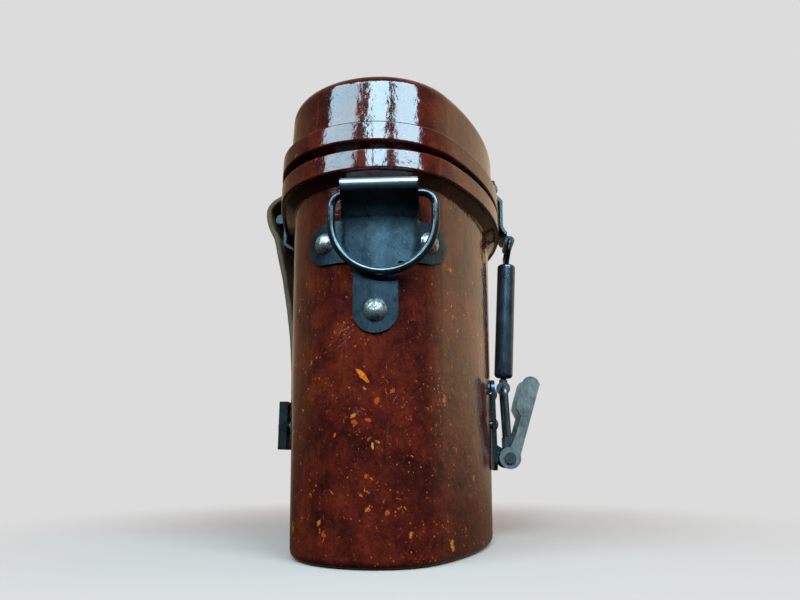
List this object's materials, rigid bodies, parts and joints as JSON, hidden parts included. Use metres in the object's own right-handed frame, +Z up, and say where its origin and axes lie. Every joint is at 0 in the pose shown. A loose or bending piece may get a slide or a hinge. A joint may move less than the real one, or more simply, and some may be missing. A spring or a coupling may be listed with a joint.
{
  "type": "binocular case",
  "caption": "Oval hard-shell binocular case in moulded brown phenolic, hinged lid held by a spring toggle latch, D-rings at both ends and a leather back strap",
  "frame": {"origin": "centre of the base, on the surface the case stands on", "axes": "X along the wide dimension, front with the latch is -Y, rear with the hinge and strap is +Y, +Z up"},
  "size_m": [0.1736, 0.1178, 0.1666],
  "materials": {
    "phenolic": "glossy dark red-brown moulded phenolic with orange fibre flecks, worn",
    "blued_steel": "blackened blue-grey steel, satin, worn at edges",
    "worn_steel": "grey oxidised steel, dull, rubbed nearly bare",
    "rivet_steel": "aged bright steel with dark tarnish",
    "plain_steel": "plain spring steel",
    "strap_leather": "old grey-brown leather, dull, scuffed",
    "grey_felt": "thick grey wool felt"
  },
  "bodies": {
    "body": {"body_shell": "phenolic", "left_end_bracket": "blued_steel", "right_end_bracket": "blued_steel", "bracket_rivets": "rivet_steel", "bracket_washers": "rivet_steel", "hinge_body_leaf": "blued_steel", "hinge_pin": "rivet_steel", "body_leaf_rivets": "rivet_steel", "back_strap": "strap_leather", "strap_keeper": "blued_steel", "keeper_rivets": "rivet_steel", "base_plate": "blued_steel", "base_rivets": "rivet_steel", "base_pad": "grey_felt"},
    "lid": {"lid_shell": "phenolic", "hinge_lid_leaf": "blued_steel", "lid_leaf_rivets": "rivet_steel", "strap_clamp": "blued_steel", "catch_plate": "blued_steel", "catch_rivets": "rivet_steel", "lid_pad": "grey_felt"},
    "left_ring": {"left_d_ring": "blued_steel"},
    "right_ring": {"right_d_ring": "blued_steel"},
    "latch_tube": {"latch_link": "blued_steel", "spring_tube": "blued_steel", "tube_plug": "blued_steel", "latch_spring": "plain_steel"},
    "latch_rod": {"spring_rod": "worn_steel", "bail": "worn_steel"},
    "lever": {"latch_lever": "worn_steel", "lever_pin": "worn_steel"}
  },
  "joints": [
    {"name": "lid_hinge", "type": "hinge", "parent": "body", "child": "lid", "pos_m": [0, 0.0489, 0.1366], "axis": [-1, 0, 0], "range_deg": [0, 112], "deforming": ["back_strap"]},
    {"name": "left_ring_hinge", "type": "hinge", "parent": "body", "child": "left_ring", "pos_m": [-0.0821, 0, 0.119], "axis": [0, 1, 0], "range_deg": [0, 130]},
    {"name": "right_ring_hinge", "type": "hinge", "parent": "body", "child": "right_ring", "pos_m": [0.0821, 0, 0.119], "axis": [0, -1, 0], "range_deg": [0, 130]},
    {"name": "latch_swing", "type": "hinge", "parent": "lid", "child": "latch_tube", "pos_m": [0, -0.0536, 0.1272], "axis": [-1, 0, 0], "range_deg": [0, 110]},
    {"name": "latch_stretch", "type": "slide", "parent": "latch_tube", "child": "latch_rod", "axis": [0, 0.0698, -0.9976], "range_m": [0, 0.006], "stiffness_N_per_m": 1500, "deforming": ["latch_spring"]},
    {"name": "lever_hinge", "type": "hinge", "parent": "latch_rod", "child": "lever", "pos_m": [0, -0.0492, 0.0322], "axis": [1, 0, 0], "range_deg": [0, 115]}
  ]
}
